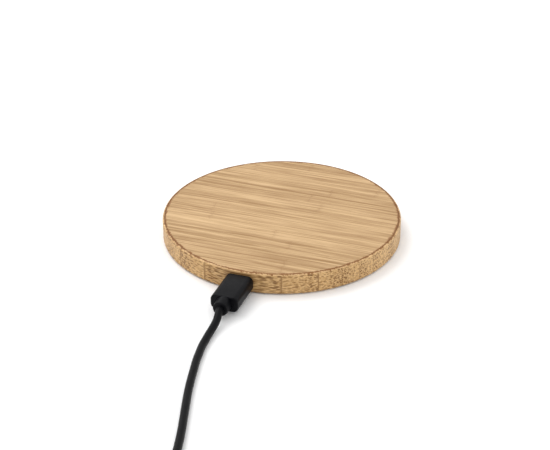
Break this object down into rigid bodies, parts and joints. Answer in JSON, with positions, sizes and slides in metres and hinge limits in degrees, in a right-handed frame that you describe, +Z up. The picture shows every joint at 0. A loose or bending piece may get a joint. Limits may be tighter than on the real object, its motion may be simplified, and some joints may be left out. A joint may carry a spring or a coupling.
{
  "type": "wireless charging pad",
  "caption": "Round bamboo wireless charging pad with an inlaid face, rubber feet and an edge socket, holding a pull-out plug on a thin cord that is wound and tied to its far plug.",
  "frame": {"origin": "middle of the pad's underside, on the table that its feet stand on", "axes": "+Z up, -Y out through the socket along the plug, X along the bamboo's grain"},
  "size_m": [0.092, 0.2749, 0.0104],
  "materials": {
    "bamboo": "oiled laminated bamboo, satin",
    "bamboo_face": "sanded laminated bamboo, satin",
    "rubber": "matt black rubber",
    "foam": "closed-cell foam",
    "ferrite": "matt sintered ferrite",
    "copper": "enamelled copper wire",
    "adhesive": "foam adhesive film",
    "board": "green solder mask",
    "chip": "moulded black",
    "ceramic": "fired ceramic",
    "steel": "plated steel",
    "plug_black": "satin black moulding",
    "cord_jacket": "satin black jacket",
    "strap": "woven black strap",
    "insert": "white moulded insert"
  },
  "bodies": {
    "pad": {"body_shell": "bamboo", "top_lid": "bamboo_face", "foot_1": "rubber", "foot_2": "rubber", "foot_3": "rubber", "foot_4": "rubber", "foam_pad": "foam", "ferrite_shield": "ferrite", "transmitter_coil": "copper", "coil_adhesive": "adhesive", "coil_lead_inner": "copper", "coil_lead_outer": "copper", "thermistor": "chip", "pcb": "board", "controller_chip": "chip", "power_stage_chip": "chip", "regulator_chip": "chip", "input_capacitor": "ceramic", "crystal": "steel", "power_inductor": "ferrite", "resonant_capacitor_1": "ceramic", "resonant_capacitor_2": "ceramic", "resonant_capacitor_3": "ceramic", "resonant_capacitor_4": "ceramic", "board_screw_1": "steel", "board_screw_2": "steel", "board_screw_3": "steel", "usb_socket_shell": "steel", "usb_socket_tongue": "chip"},
    "cable": {"plug_shell": "steel", "plug_core": "chip", "plug_overmold": "plug_black", "plug_collar": "plug_black", "cord_lead": "cord_jacket", "cord_coil": "cord_jacket", "cord_tie": "strap", "cord_tail": "cord_jacket", "far_plug_collar": "plug_black", "far_plug_overmold": "plug_black", "far_plug_shell": "steel", "far_plug_insert": "insert"}
  },
  "joints": [
    {"name": "plug_pull", "type": "slide", "parent": "pad", "child": "cable", "axis": [0, -1, 0], "range_m": [0, 0.012]}
  ]
}
